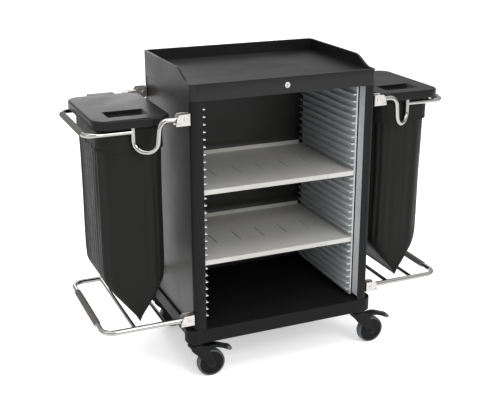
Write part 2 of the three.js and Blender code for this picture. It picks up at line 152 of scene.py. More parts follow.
def add_studio():
    """A white room, brightest overhead and dimmer toward the horizon, with four softboxes."""
    world = bpy.data.worlds.new("studio")
    world.use_nodes = True
    toward = add_node(world, "ShaderNodeTexCoord").outputs["Generated"]
    height = add_node(world, "ShaderNodeSeparateXYZ", {"Vector": toward}).outputs["Z"]
    level = add_node(
        world, "ShaderNodeMapRange",
        {"Value": height, "From Min": 0.0, "From Max": 1.0, "To Min": 0.24, "To Max": 1.55},
    ).outputs["Result"]
    world.node_tree.links.new(level, world.node_tree.nodes["Background"].inputs["Strength"])
    world.node_tree.nodes["Background"].inputs["Color"].default_value = (1, 1, 1, 1)
    bpy.context.scene.world = world
    bpy.context.scene.view_settings.view_transform = "Standard"
    add_softbox("softbox_over", (-0.4, -0.6, 3.6), (0, 0, 0.6), (3.0, 2.4), 45)
    add_softbox("softbox_left", (-3.4, -1.2, 2.2), (-0.2, 0, 0.6), (1.6, 2.0), 15)
    add_softbox("softbox_front", (0.9, -3.2, 2.4), (0, 0, 0.6), (1.8, 1.4), 62)
    add_softbox("softbox_behind", (0.0, 4.2, 1.9), (-0.4, 0, 0.9), (2.0, 1.2), 16)


# Materials ---------------------------------------------------------------------------------


def linear(code):
    """An sRGB hex colour as the linear values that a shader takes."""
    channels = [int(code[i : i + 2], 16) / 255 for i in (0, 2, 4)]
    return (*[c / 12.92 if c <= 0.04045 else ((c + 0.055) / 1.055) ** 2.4 for c in channels], 1)


def add_node(material, kind, inputs=None, **settings):
    """Adds a node. Inputs are values, or the output sockets that feed them."""
    made = material.node_tree.nodes.new(kind)
    for name, value in settings.items():
        setattr(made, name, value)
    for socket, value in (inputs or {}).items():
        if isinstance(value, bpy.types.NodeSocket):
            material.node_tree.links.new(value, made.inputs[socket])
        else:
            made.inputs[socket].default_value = value
    return made


def finished(name, colours, roughness, mottle, grain, stretch=(1, 1, 1), wear=None, **shader):
    """A surface with patchy colour and gloss over `mottle` mm, and a bump of (mm across, mm deep).

    Stretch sets how much finer the pattern is along each axis, and wear is the colour of rubbed
    edges.
    """
    material = bpy.data.materials.new(name)
    material.use_nodes = True
    principled = material.node_tree.nodes["Principled BSDF"]
    place = add_node(material, "ShaderNodeTexCoord").outputs["Object"]
    mapped = add_node(
        material, "ShaderNodeMapping", {"Vector": place, "Scale": stretch}
    ).outputs["Vector"]
    patches = add_node(
        material, "ShaderNodeTexNoise",
        {"Vector": mapped, "Scale": 1000 / mottle, "Detail": 3.0, "Roughness": 0.55},
    ).outputs["Fac"]
    colour = add_node(
        material, "ShaderNodeMix",
        {"Factor": patches, "A": linear(colours[0]), "B": linear(colours[1])}, data_type="RGBA",
    ).outputs["Result"]
    if wear:
        edge = add_node(material, "ShaderNodeNewGeometry").outputs["Pointiness"]
        rubbed = add_node(
            material, "ShaderNodeMapRange",
            {"Value": edge, "From Min": 0.52, "From Max": 0.6, "To Min": 0.0, "To Max": 0.6},
        ).outputs["Result"]
        colour = add_node(
            material, "ShaderNodeMix",
            {"Factor": rubbed, "A": colour, "B": linear(wear)}, data_type="RGBA",
        ).outputs["Result"]
    gloss = add_node(
        material, "ShaderNodeMapRange",
        {"Value": patches, "From Min": 0.3, "From Max": 0.7,
         "To Min": roughness[0], "To Max": roughness[1]},
    ).outputs["Result"]
    specks = add_node(
        material, "ShaderNodeTexNoise",
        {"Vector": mapped, "Scale": 1000 / grain[0], "Detail": 2.0},
    ).outputs["Fac"]
    bump = add_node(
        material, "ShaderNodeBump",
        {"Height": specks, "Strength": 1.0, "Distance": grain[1] * MM},
    ).outputs["Normal"]
    for socket, value in (("Base Color", colour), ("Roughness", gloss), ("Normal", bump)):
        material.node_tree.links.new(value, principled.inputs[socket])
    for socket, value in shader.items():
        principled.inputs[socket.replace("_", " ")].default_value = value
    return material


def bag_cloth():
    """Coated polyester, plain woven: dull black with a little sheen.

    Threads of 0.5 mm are too fine to show. The weave is drawn as faint bands 31 mm apart: the wave
    node turns by 20 radians a metre, times its scale of 10.
    """
    material = finished(
        "coated_woven_polyester", ("141413", "1a1a19"), (0.5, 0.62), 60, (7, 0.1),
        stretch=(1, 1, 3), Specular_IOR_Level=0.1, Sheen_Weight=0.05, Sheen_Roughness=0.5,
        Sheen_Tint=linear("8a8a8a"),
    )
    principled = material.node_tree.nodes["Principled BSDF"]
    along = add_node(material, "ShaderNodeUVMap", uv_map="cloth").outputs["UV"]
    threads = [
        add_node(
            material, "ShaderNodeTexWave",
            {"Vector": along, "Scale": 10, "Distortion": 0.6, "Detail": 1.0},
            wave_type="BANDS", bands_direction=direction,
        ).outputs["Fac"]
        for direction in ("X", "Y")
    ]
    weave = add_node(
        material, "ShaderNodeMath", {0: threads[0], 1: threads[1]}, operation="MULTIPLY"
    ).outputs["Value"]
    soft = principled.inputs["Normal"].links[0].from_node.outputs["Normal"]
    bump = add_node(
        material, "ShaderNodeBump",
        {"Height": weave, "Normal": soft, "Strength": 0.6, "Distance": 0.15 * MM},
    ).outputs["Normal"]
    material.node_tree.links.new(bump, principled.inputs["Normal"])
    return material


def make_materials():
    return {
        # Injection-moulded ABS with a spark-eroded grain: even satin black, paler on rubbed edges.
        "abs": finished(
            "moulded_black_abs", ("0e0e0e", "121212"), (0.4, 0.5), 90, (1.6, 0.05),
            wear="262626", IOR=1.53, Specular_IOR_Level=0.07,
        ),
        # The tray and lids have a finer grain and catch more light from above.
        "abs_smooth": finished(
            "moulded_black_abs_fine_grain", ("111111", "151515"), (0.3, 0.4), 120, (1.2, 0.03),
            wear="2a2a2a", IOR=1.53, Specular_IOR_Level=0.11,
        ),
        # High-pressure laminate: dark grey, smooth, with a broad soft sheen.
        "laminate": finished(
            "dark_grey_laminate", ("1f1e1d", "242322"), (0.3, 0.38), 160, (2.2, 0.02),
            IOR=1.5, Specular_IOR_Level=0.13,
        ),
        # The back board: the same laminate in black, a shade paler than the plastic around it; the
        # paler tone is painted fill light for the shaded inside of the cabinet.
        "back": finished(
            "black_laminate_back_painted_fill", ("2b2a29", "323130"), (0.34, 0.44), 160, (2.2, 0.02),
            IOR=1.5, Specular_IOR_Level=0.24,
        ),
        # Extruded and anodised: satin grey-blue metal with drawing lines along the rib.
        "aluminium": finished(
            "anodised_extruded_aluminium", ("b6babc", "c8cccd"), (0.38, 0.5), 40, (1.5, 0.02),
            stretch=(6, 0.6, 6), Metallic=0.35,
        ),
        # Steel sheet under a pale powder coat: light grey with a slight orange peel.
        "powder_coat": finished(
            "grey_powder_coated_steel", ("9f9e9a", "a7a6a2"), (0.42, 0.52), 110, (2.0, 0.04),
            wear="d6d5d1", IOR=1.5,
        ),
        # Bright chrome plate on steel tube: a hard mirror with faint hand smears.
        "chrome": finished(
            "chromed_steel_tube", ("969593", "a2a19e"), (0.05, 0.11), 50, (6, 0.01), Metallic=1.0,
        ),
        # Pressed steel, satin nickel plated: pale warm metal, softly blurred.
        "nickel": finished(
            "satin_nickel_pressed_steel", ("b5b1ad", "c0bcb8"), (0.3, 0.42), 25, (1.2, 0.02),
            Metallic=1.0,
        ),
        # Foamed nitrile rubber: matt brown grey with open pores.
        "foam": finished(
            "nitrile_foam_grip", ("47433f", "524e4a"), (0.7, 0.85), 20, (1.4, 0.12), IOR=1.52,
        ),
        # Thermoplastic rubber: grey blue and matt, with scuffs around the tread.
        "tyre": finished(
            "grey_tpr_tyre", ("3b3f45", "4a4f56"), (0.62, 0.8), 14, (1.5, 0.08), IOR=1.52,
        ),
        # Glass-filled nylon: black, a little rougher than the ABS, pale on the corners.
        "nylon": finished(
            "moulded_black_nylon", ("0b0b0b", "0f0f0f"), (0.48, 0.6), 30, (1.5, 0.05),
            wear="282828", IOR=1.53, Specular_IOR_Level=0.11,
        ),
        # Bright zinc on turned steel: grey, with a dull sparkle.
        "zinc": finished(
            "zinc_plated_steel", ("a3a3a1", "bdbcb9"), (0.32, 0.45), 8, (1.0, 0.02), Metallic=1.0,
        ),
        "cloth": bag_cloth(),
    }


# Shapes ------------------------------------------------------------------------------------


def soften(bm, width, segments=2, beyond=35):
    """Rounds every edge that turns by more than `beyond` degrees."""
    sharp = [
        edge for edge in bm.edges
        if len(edge.link_faces) == 2 and edge.calc_face_angle() > math.radians(beyond)
    ]
    return rounded(bm, sharp, width, segments)


def rounded(bm, edges, radius, segments):
    bmesh.ops.bevel(
        bm, geom=edges, offset=radius, offset_type="OFFSET", affect="EDGES",
        segments=segments, profile=0.5, material=-1, clamp_overlap=True,
    )
    return bm


def upright(bm):
    """The edges that run straight up."""
    found = []
    for edge in bm.edges:
        run = edge.verts[0].co - edge.verts[1].co
        if abs(run.x) < 1e-3 and abs(run.y) < 1e-3:
            found.append(edge)
    return found


def block(x, y, z, corner=0.0, edge=0.0):
    """A block with its upright edges rounded to `corner`, and every other edge to `edge`."""
    bm = bmesh.new()
    bmesh.ops.create_cube(bm, size=1)
    bmesh.ops.scale(bm, vec=(x[1] - x[0], y[1] - y[0], z[1] - z[0]), verts=bm.verts)
    middle = [sum(span) / 2 for span in (x, y, z)]
    bmesh.ops.translate(bm, vec=middle, verts=bm.verts)
    if corner:
        rounded(bm, upright(bm), corner, 8)
    if edge:
        soften(bm, edge)
    return bm


AXES = {
    "x": lambda u, v, w: (w, u, v),
    "y": lambda u, v, w: (u, w, v),
    "z": lambda u, v, w: (u, v, w),
}


def prism(points, axis, reach, edge=0.6, segments=2):
    """An outline across `axis`, extruded along it from reach[0] to reach[1]."""
    bm = bmesh.new()
    place = AXES[axis]
    face = bm.faces.new([bm.verts.new(place(u, v, reach[0])) for u, v in points])
    push(bm, [face], place(0, 0, reach[1] - reach[0]))
    bmesh.ops.recalc_face_normals(bm, faces=bm.faces)
    return soften(bm, edge, segments) if edge else bm


def push(bm, faces, move):
    """Extrudes faces by a vector. Those that join on to others leave a hollow behind."""
    joined = any(
        other not in faces for face in faces for edge in face.edges for other in edge.link_faces
    )
    made = bmesh.ops.extrude_face_region(bm, geom=faces)["geom"]
    moved = [item for item in made if isinstance(item, bmesh.types.BMVert)]
    bmesh.ops.translate(bm, vec=move, verts=moved)
    if joined:
        bmesh.ops.delete(bm, geom=faces, context="FACES")


def sunk(bm, faces, wall, move):
    """Insets faces by a wall and pushes what is left."""
    bmesh.ops.inset_region(bm, faces=faces, thickness=wall, use_even_offset=True)
    push(bm, faces, move)


def level_faces(bm, z, down=False):
    """Flat faces at that height that look up, or down."""
    facing = -1 if down else 1
    return [
        face for face in bm.faces
        if face.normal.z * facing > 0.9 and abs(face.calc_center_median().z - z) < 0.5
    ]


def cut(bm, axis, places):
    """Cuts the mesh across an axis, so that its faces have edges there."""
    normal = AXES[axis](0, 0, 1)
    for place in places:
        bmesh.ops.bisect_plane(
            bm, geom=bm.verts[:] + bm.edges[:] + bm.faces[:],
            plane_co=AXES[axis](0, 0, place), plane_no=normal,
        )


def turned(profile, axis, centre, steps=32, closed=False):
    """Points (radius, height) spun about an axis; centre is where the axis crosses its plane."""
    bm = bmesh.new()
    verts = [bm.verts.new((radius, 0, height)) for radius, height in profile]
    pairs = list(zip(verts, verts[1:]))
    if closed:
        pairs.append((verts[-1], verts[0]))
    edges = [bm.edges.new(pair) for pair in pairs]
    bmesh.ops.spin(
        bm, geom=verts + edges, cent=(0, 0, 0), axis=(0, 0, 1), angle=math.tau,
        steps=steps, use_merge=True,
    )
    bmesh.ops.remove_doubles(bm, verts=bm.verts, dist=1e-3)
    bmesh.ops.recalc_face_normals(bm, faces=bm.faces)
    turn = {"x": Matrix.Rotation(math.pi / 2, 4, "Y"), "y": Matrix.Rotation(-math.pi / 2, 4, "X"),
            "z": Matrix.Identity(4)}[axis]
    shift = Matrix.Translation(AXES[axis](centre[0], centre[1], 0))
    bmesh.ops.transform(bm, matrix=shift @ turn, verts=bm.verts)
    return bm


def tube(corners, radius, sides=20, bend_steps=10):
    """Round tube, straight between corners (x, y, z, bend radius) and turned on an arc at each."""
    at = [Vector(corner[:3]) for corner in corners]
    heading = (at[1] - at[0]).normalized()
    bm = bmesh.new()
    start = Matrix.Translation(at[0]) @ heading.to_track_quat("Z", "Y").to_matrix().to_4x4()
    bmesh.ops.create_circle(bm, segments=sides, radius=radius, matrix=start)
    ring = bm.edges[:]
    place = at[0]
    for i in range(1, len(at)):
        heading = (at[i] - at[i - 1]).normalized()
        away = (at[i + 1] - at[i]).normalized() if i + 1 < len(at) else heading
        turn = heading.angle(away)
        reach = corners[i][3] * math.tan(turn / 2) if turn > 1e-4 else 0
        made = bmesh.ops.extrude_edge_only(bm, edges=ring)["geom"]
        verts = [item for item in made if isinstance(item, bmesh.types.BMVert)]
        ring = [item for item in made if isinstance(item, bmesh.types.BMEdge)]
        bmesh.ops.translate(bm, vec=at[i] - heading * reach - place, verts=verts)
        ring = [edge for edge in ring if all(vert in verts for vert in edge.verts)]
        place = at[i] - heading * reach
        if not reach:
            continue
        axis = heading.cross(away).normalized()
        made = bmesh.ops.spin(
            bm, geom=ring + verts, cent=place + axis.cross(heading) * corners[i][3], axis=axis,
            angle=turn, steps=bend_steps,
        )["geom_last"]
        ring = [item for item in made if isinstance(item, bmesh.types.BMEdge)]
        place = at[i] + away * reach
    bmesh.ops.holes_fill(bm, edges=bm.edges, sides=0)
    bmesh.ops.recalc_face_normals(bm, faces=bm.faces)
    return soften(bm, 0.8, beyond=60)


def flipped(bm, x=1, y=1):
    """The shape mirrored to the other side or end where x or y is -1."""
    bmesh.ops.scale(bm, vec=(x, y, 1), verts=bm.verts)
    if x * y < 0:
        bmesh.ops.reverse_faces(bm, faces=bm.faces)
    return bm


def piece(name, shells, material, body, nodes=(), even=True):
    """Joins shells into one object, in metres, that rides on a body and stands for its nodes."""
    bm = bmesh.new()
    for shell in shells:
        part = bpy.data.meshes.new("shell")
        shell.to_mesh(part)
        shell.free()
        bm.from_mesh(part)
        bpy.data.meshes.remove(part)
    bmesh.ops.scale(bm, vec=(MM, MM, MM), verts=bm.verts)
    for face in bm.faces:
        face.smooth = True
    mesh = bpy.data.meshes.new(name)
    bm.to_mesh(mesh)
    bm.free()
    mesh.materials.append(material)
    made = bpy.data.objects.new(name, mesh)
    bpy.context.scene.collection.objects.link(made)
    if even:
        made.modifiers.new("even_shading", "WEIGHTED_NORMAL").keep_sharp = False
    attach(made, body)
    if nodes:
        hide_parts(*nodes)
    return made


# Cabinet -----------------------------------------------------------------------------------


def add_base(look):
    """A tray turned upside down, with a round foot in each corner that stands out at the end."""
    shell = block(
        (-BASE_HALF_WIDTH, BASE_HALF_WIDTH), (-HALF_DEPTH, HALF_DEPTH), BASE_Z, corner=FOOT_R,
    )
    sunk(shell, level_faces(shell, BASE_Z[0], down=True), 6, (0, 0, 44))
    soften(shell, 2.5, 3)
    ribs = [block((x - 2, x + 2), (-241, 241), (150, 192), edge=0.5) for x in (-120, 120)]
    # The feet stop 0.1 mm short of the tray's faces, so that no two faces lie on each other.
    foot = [(0, 147.1), (36, 147.1), (37.4, 147.8), (FOOT_R, 149.4), (FOOT_R, 194.4),
            (37.2, 196.2), (35.4, 196.9), (0, 196.9)]
    feet = [
        turned(foot, "z", (x, y), 72) for x in (-FOOT[0], FOOT[0]) for y in (-FOOT[1], FOOT[1])
    ]
    piece(
        "base_moulding", [shell, *ribs, *feet], look["abs"], "cabinet", ["base"],
    )


def add_posts(look):
    """The front posts have a rebate for the side board and a small lip toward the opening."""
    lip, rebate = 292.4, 328.7
    outlines = {
        "front": [(lip, POST_FACE), (HALF_WIDTH, POST_FACE), (HALF_WIDTH, -223.5),
                  (rebate, -223.5), (rebate, -200.5), (POST_INSIDE, -200.5),
                  (POST_INSIDE, -241.5), (lip, -241.5)],
        "rear": [(HALF_WIDTH, HALF_DEPTH), (HALF_WIDTH, 202), (POST_INSIDE, 202),
                 (POST_INSIDE, HALF_DEPTH)],
    }
    for end, outline in outlines.items():
        outer_y = POST_FACE if end == "front" else HALF_DEPTH
        for side, sign in SIDES.items():
            post = prism(outline, "z", POST_Z, edge=0)
            corner = [
                edge for edge in upright(post)
                if edge.verts[0].co.x > HALF_WIDTH - 1
                and abs(edge.verts[0].co.y - outer_y) < 0.1
            ]
            soften(rounded(post, corner, 18, 8), 0.9)
            piece(
                f"corner_post_{end}_{side}", [flipped(post, x=sign)], look["abs"], "cabinet",
                [f"post_{end}_{side}"],
            )


def add_panels(look):
    for side, sign in SIDES.items():
        panel = block((HALF_WIDTH - 3, HALF_WIDTH), (-223.2, 201.7), POST_Z, edge=0.8)
        piece(
            f"side_board_{side}", [flipped(panel, x=sign)], look["laminate"], "cabinet",
            [f"side_panel_{side}"],
        )
    back = block((-294.5, 294.5), (238, 241), POST_Z, edge=0.8)
    # The back board's paler colour is painted fill light for the shaded inside of the cabinet.
    piece("back_board", [back], look["back"], "cabinet", ["back_panel"])


def add_rails(look):
    """A comb of ribs at each end of the cabinet, and the plain strip in front of it."""
    for side, sign in SIDES.items():
        comb = [block((283, 289), RAIL_Y, (205, RAIL_TOP), edge=0.8)]
        for k in range(RIB_COUNT):
            z = RIB_TOP - RIB_PITCH * k
            outline = [(283.6, z + 2.5), (268.7, z + 1.8), (268.7, z - 1.8), (283.6, z - 2.5)]
            comb.append(prism(outline, "y", RAIL_Y, edge=1.1))
        piece(
            f"shelf_ribs_{side}", [flipped(shell, x=sign) for shell in comb], look["aluminium"],
            "cabinet", [f"rib_panel_{side}"],
        )
        strip = block((292.7, 294.7), (-241, -204), (212, RAIL_TOP), edge=0.6)
        piece(
            f"edge_strip_{side}", [flipped(strip, x=sign)], look["aluminium"], "cabinet",
            [f"rail_strip_{side}"],
        )


def add_shelf(look, name, top):
    """Folded sheet: slotted deck, turned-down front lip with a hem, and a rear rim."""
    sheet = bmesh.new()
    fold = [(196, top), (-207.9, top), (-207.9, top - 17), (-204.8, top - 17)]
    verts = [sheet.verts.new((-SHELF_HALF_LENGTH, y, z)) for y, z in fold]
    edges = [sheet.edges.new(pair) for pair in zip(verts, verts[1:])]
    made = bmesh.ops.extrude_edge_only(sheet, edges=edges)["geom"]
    moved = [item for item in made if isinstance(item, bmesh.types.BMVert)]
    bmesh.ops.translate(sheet, vec=(2 * SHELF_HALF_LENGTH, 0, 0), verts=moved)
    slots = [i * SLOT_PITCH + edge for i in range(-2, 3) for edge in (-1.5, 1.5)]
    cut(sheet, "x", [-SHELF_END_X, SHELF_END_X, *slots])
    cut(sheet, "y", [SHELF_LIP_Y, *SLOT_Y])
    gone = []
    for face in sheet.faces:
        x, y, _ = face.calc_center_median()
        off_slot = abs(x - round(x / SLOT_PITCH) * SLOT_PITCH)
        slotted = SLOT_Y[0] < y < SLOT_Y[1] and off_slot < 1.4 and abs(x) < 190
        notched = abs(x) > SHELF_END_X and y < SHELF_LIP_Y
        if slotted or notched:
            gone.append(face)
    bmesh.ops.delete(sheet, geom=gone, context="FACES")
    bmesh.ops.recalc_face_normals(sheet, faces=sheet.faces)
    deck = max(sheet.faces, key=lambda face: face.calc_area())
    if deck.normal.z < 0:
        bmesh.ops.reverse_faces(sheet, faces=sheet.faces)
    bends = [
        edge for edge in sheet.edges
        if len(edge.link_faces) == 2 and edge.calc_face_angle() > 1
    ]
    rounded(sheet, bends, 2.6, 4)
    bmesh.ops.solidify(sheet, geom=sheet.faces[:], thickness=2.2)
    bmesh.ops.recalc_face_normals(sheet, faces=sheet.faces)
    soften(sheet, 0.35, 1, beyond=60)
    rim = block((-263, 263), (194, 196), (top - 1, top + 14), edge=0.7)
    piece(
        f"{name}_shelf_sheet", [sheet, rim], look["powder_coat"], f"{name}_shelf",
        [f"shelf_{name}"],
    )


def rim_height(y):
    """The tray's rim falls in an S from its full height to the front lip."""
    start, stop = TRAY_CURVE
    t = min(max((y - start) / (stop - start), 0), 1)
    return TRAY_LIP + (TRAY_TOP - TRAY_LIP) * t * t * (3 - 2 * t)


def add_tray(look):
    tray = block(
        (-HALF_WIDTH, HALF_WIDTH), (-HALF_DEPTH, HALF_DEPTH), (TRAY_BOTTOM, TRAY_TOP), corner=18,
    )
    sunk(tray, level_faces(tray, TRAY_TOP), 9, (0, 0, TRAY_FLOOR - TRAY_TOP))
    sunk(tray, level_faces(tray, TRAY_BOTTOM, down=True), 18, (0, 0, 42))
    start, stop = TRAY_CURVE
    cut(tray, "y", [start + (stop - start) * i / 14 for i in range(15)])
    for vert in tray.verts:
        vert.co.z = min(vert.co.z, rim_height(vert.co.y))
    soften(tray, 2.2, 3)
    piece("tray_moulding", [tray], look["abs_smooth"], "cabinet", ["tray"])


def add_lock(look):
    front = -HALF_DEPTH
    barrel = turned(
        [(0, front - 0.6), (6, front - 0.6), (6.4, front - 1), (8.6, front - 1), (10, front - 0.3),
         (8, front - 0.3), (8, front + 19), (0, front + 19)], "y", (0, 1016), 40,
    )
    cam = block((-9, 9), (front + 18.6, front + 21), (994, 1024), edge=0.5)
    piece("lock_face", [barrel, cam], look["nickel"], "lock", ["lock_barrel"])
    # The key slot is not cut: a thin black sliver on the lock face is painted shade for its
    # hollow.
    keyway_painted_shade = block((-0.9, 0.9), (front - 0.75, front - 0.5), (1011.5, 1020.5))
    piece("lock_keyway", [keyway_painted_shade], look["nylon"], "lock")


# Casters -----------------------------------------------------------------------------------


def add_mount(look, name, x, y):
    plate = block((x - 26, x + 26), (y - 26, y + 26), (143.7, 146.7), corner=5, edge=0.5)
    race = turned(
        [(0, 115.5), (8.2, 115.5), (9, 116.3), (9, 119), (5, 119), (5, 133.3), (21, 133.3),
         (25, 137), (25, 144), (0, 144)], "z", (x, y), 40,
    )
    heads = [
        turned([(0, 140.5), (3.4, 141), (4.2, 142), (4.2, 144), (0, 144)], "z", (x + u, y + v), 16)
        for u in (-21, 21) for v in (-21, 21)
    ]
    piece(
        f"caster_{name}_swivel_plate", [plate, race, *heads], look["nylon"], "cabinet",
        [f"caster_{name}_mount"],
    )


def add_fork(look, name, x, y):
    """A round crown over the kingpin, and two legs that slant back to the axle."""
    crown = turned(
        [(5.3, 120), (23, 120), (25.5, 123), (26, 127), (26, 131), (24.5, 133), (5.3, 133)],
        "z", (x, y), 40, closed=True,
    )
    deck = block((x - 12, x + 22), (y - 21.4, y + 21.4), (120, 126), edge=1.5)
    outline = [(-24, 126), (-23, 118), (-20, 112), (-12, 103), (-2, 94), (26, 60), (42, 43),
               (48, 37), (56, 35.5), (64, 40), (68, 48), (65, 58), (37, 121), (32, 126)]
    legs = [
        prism([(x + u, z) for u, z in outline], "y", (y + side - 1.5, y + side + 1.5), edge=1.2,
              segments=3)
        for side in (-20, 20)
    ]
    bosses = []
    for side in (-1, 1):
        boss = turned([(9, 1.2), (11.5, 1.2), (12.5, 0), (12.5, -0.8), (9, -0.8)], "y",
                      (x + TRAIL, WHEEL_R), 24, closed=True)
        bmesh.ops.scale(boss, vec=(1, side, 1), verts=boss.verts)
        bmesh.ops.translate(boss, vec=(0, y + side * 21.7, 0), verts=boss.verts)
        bmesh.ops.recalc_face_normals(boss, faces=boss.faces)
        bosses.append(boss)
    piece(
        f"caster_{name}_yoke", [crown, deck, *legs, *bosses], look["nylon"], f"swivel_{name}",
        [f"caster_{name}_fork"],
    )


def add_wheel(look, name, x, y):
    centre = (x + TRAIL, WHEEL_R)
    body = f"wheel_{name}"
    half = [(5.2, 16.5), (11, 16.5), (12, 15.5), (13.2, 12.4), (15, 11.6), (39, 11.6),
            (41.4, 12.3), (42.4, 11.3)]
    hub = turned(
        [(radius, y - out) for radius, out in half]
        + [(radius, y + out) for radius, out in reversed(half)], "y", centre, 56, closed=True,
    )
    piece(
        f"caster_{name}_hub", [hub], look["nylon"], body,
        [f"caster_{name}_wheel"],
    )
    tread = turned(
        [(43.2, y - 11.6), (44.2, y - 12.5), (47, y - 12.3), (49, y - 10.6), (49.8, y - 7),
         (WHEEL_R, y), (49.8, y + 7), (49, y + 10.6), (47, y + 12.3), (44.2, y + 12.5),
         (43.2, y + 11.6)],
        "y", centre, 64, closed=True,
    )
    piece(
        f"caster_{name}_tread", [tread], look["tyre"], body,
        [f"caster_{name}_tyre"],
    )
    axle = turned(
        [(0, y - 25), (6.6, y - 25), (8, y - 23.6), (8, y - 21.8), (4.9, y - 21.8),
         (4.9, y + 21.8), (8, y + 21.8), (8, y + 23.6), (6.6, y + 25), (0, y + 25)],
        "y", centre, 24,
    )
    piece(
        f"caster_{name}_axle_bolt", [axle], look["nylon"], f"swivel_{name}",
        [f"caster_{name}_axle"],
    )


def add_brake(look, name, x, y):
    """A foot lever that arches over the wheel, with a soft tip and three grip bars."""
    outline = [(22, 106), (40, 105), (60, 107.5), (76, 106), (94, 100), (108, 93), (116, 89),
               (117, 102), (98, 110), (80, 117), (62, 120.5), (40, 118.6), (24, 118)]
    arm = prism([(x + u, z) for u, z in outline], "y", (y - 14, y + 14), edge=2, segments=3)
    pivot_x, pivot_z = BRAKE_PIVOT
    pin = turned(
        [(0, y - 21), (3, y - 21), (3, y + 21), (0, y + 21)], "y", (x + pivot_x, pivot_z), 20,
    )
    piece(
        f"caster_{name}_brake_lever", [arm, pin], look["nylon"], f"brake_{name}",
        [f"caster_{name}_brake_pedal"],
    )
    end = [(111, 91), (118, 87.6), (126, 86), (130, 90), (129, 97), (118, 102.4), (112, 105)]
    tip = prism([(x + u, z) for u, z in end], "y", (y - 14.2, y + 14.2), edge=1.8, segments=3)
    bars = []
    first, slope = 114, 0.48
    for u in (first, first + 5, first + 10):
        z = 103.8 - slope * (u - first)
        bars.append(block((x + u, x + u + 2), (y - 11, y + 11), (z - 3, z + 0.6), edge=0.7))
    piece(f"caster_{name}_brake_tip", [tip, *bars], look["tyre"], f"brake_{name}")


# Frames ------------------------------------------------------------------------------------


def add_bracket(look, name, end, side, pivot_z, tube_r):
    """A pressed channel: wall plate, two cheeks, the web that the tube rests on, and its rivet."""
    low, high = pivot_z - 19, pivot_z + 18
    wall, inside, outside, sheet = 332.3, 209, 240, 2.5
    cheek = [(wall, low), (380, low), (380, low + 5), (375, pivot_z + 9), (368, high),
             (wall, high)]
    web_top = pivot_z - tube_r - 0.3
    shells = [
        block((wall, wall + sheet), (inside, outside), (low, high), edge=0.8),
        prism(cheek, "y", (outside - sheet, outside), edge=0.9, segments=3),
        prism(cheek, "y", (inside, inside + sheet), edge=0.9, segments=3),
        block((362, 377), (inside, outside), (web_top - 2.7, web_top), edge=0.6),
    ]
    piece(
        f"{name}_channel_{end}_{side}",
        [flipped(shell, SIDES[side], ENDS[end]) for shell in shells], look["nickel"], "cabinet",
        [f"{name}_bracket_{end}_{side}"],
    )
    rivet = turned(
        [(0, 206.4), (3.5, 206.6), (5.8, 207.6), (6.5, 208.9), (4, 209), (4, 240), (6.5, 240.1),
         (5.8, 241.6), (3.5, 242.6), (0, 242.8)], "y", (PIVOT_X, pivot_z), 28,
    )
    piece(
        f"{name}_rivet_{end}_{side}", [flipped(rivet, SIDES[side], ENDS[end])], look["nickel"],
        "cabinet",
    )


def add_upper_frame(look, side):
    """Two arms that dip in a U to a stub, and the hoop welded between the stubs."""
    hoop_x, hoop_y, hoop_z = HOOP
    arm = [(ARM_START_X, ARM_Y, UPPER_Z), (428, ARM_Y, UPPER_Z + 1, 30), (438, 222, DIP_Z, 38),
           (STUB_X, hoop_y, DIP_Z, 38), (STUB_X, hoop_y, 911)]
    hoop = [(STUB_X, -hoop_y, hoop_z), (hoop_x, -hoop_y, hoop_z, 36), (hoop_x, hoop_y, hoop_z, 36),
            (STUB_X, hoop_y, hoop_z)]
    shells = [
        tube(arm, UPPER_TUBE_R), flipped(tube(arm, UPPER_TUBE_R), y=-1), tube(hoop, UPPER_TUBE_R),
    ]
    piece(
        f"hoop_tube_{side}", [flipped(shell, SIDES[side]) for shell in shells], look["chrome"],
        f"hoop_{side}", [f"upper_frame_{side}"],
    )
    add_grip(
        look, f"hoop_grip_{side}", side, hoop_x, hoop_z, 11, f"hoop_{side}", f"upper_grip_{side}",
    )


def add_lower_frame(look, side):
    """The bag's support: a U of tube with two cross bars."""
    z = LOWER_Z
    loop = [(ARM_START_X, -ARM_Y, z), (LOWER_BAR_X, -ARM_Y, z, 40), (LOWER_BAR_X, ARM_Y, z, 40),
            (ARM_START_X, ARM_Y, z)]
    shells = [tube(loop, LOWER_TUBE_R)]
    shells += [tube([(x, -ARM_Y, z), (x, ARM_Y, z)], CROSS_BAR_R) for x in CROSS_BARS]
    piece(
        f"support_tube_{side}", [flipped(shell, SIDES[side]) for shell in shells], look["chrome"],
        f"support_{side}", [f"lower_frame_{side}"],
    )
    add_grip(
        look, f"support_grip_{side}", side, LOWER_BAR_X, z, 12, f"support_{side}",
        f"lower_grip_{side}",
    )


def add_grip(look, name, side, x, z, radius, body, node):
    """A foam sleeve with rounded ends that swells a little at the middle."""
    inner, shoulder, end = radius - 3.4, radius - 1.4, GRIP_HALF - 0.4
    outside = [(radius - 0.5 * (abs(k) / 10) ** 2, 14 * k * 0.985) for k in range(-10, 11)]
    profile = [(inner, -GRIP_HALF), (shoulder, -end), *outside, (shoulder, end),
               (inner, GRIP_HALF)]
    sleeve = turned(profile, "y", (SIDES[side] * x, z), 32)
    piece(name, [sleeve], look["foam"], body, [node])


# Collars, lids and bags --------------------------------------------------------------------


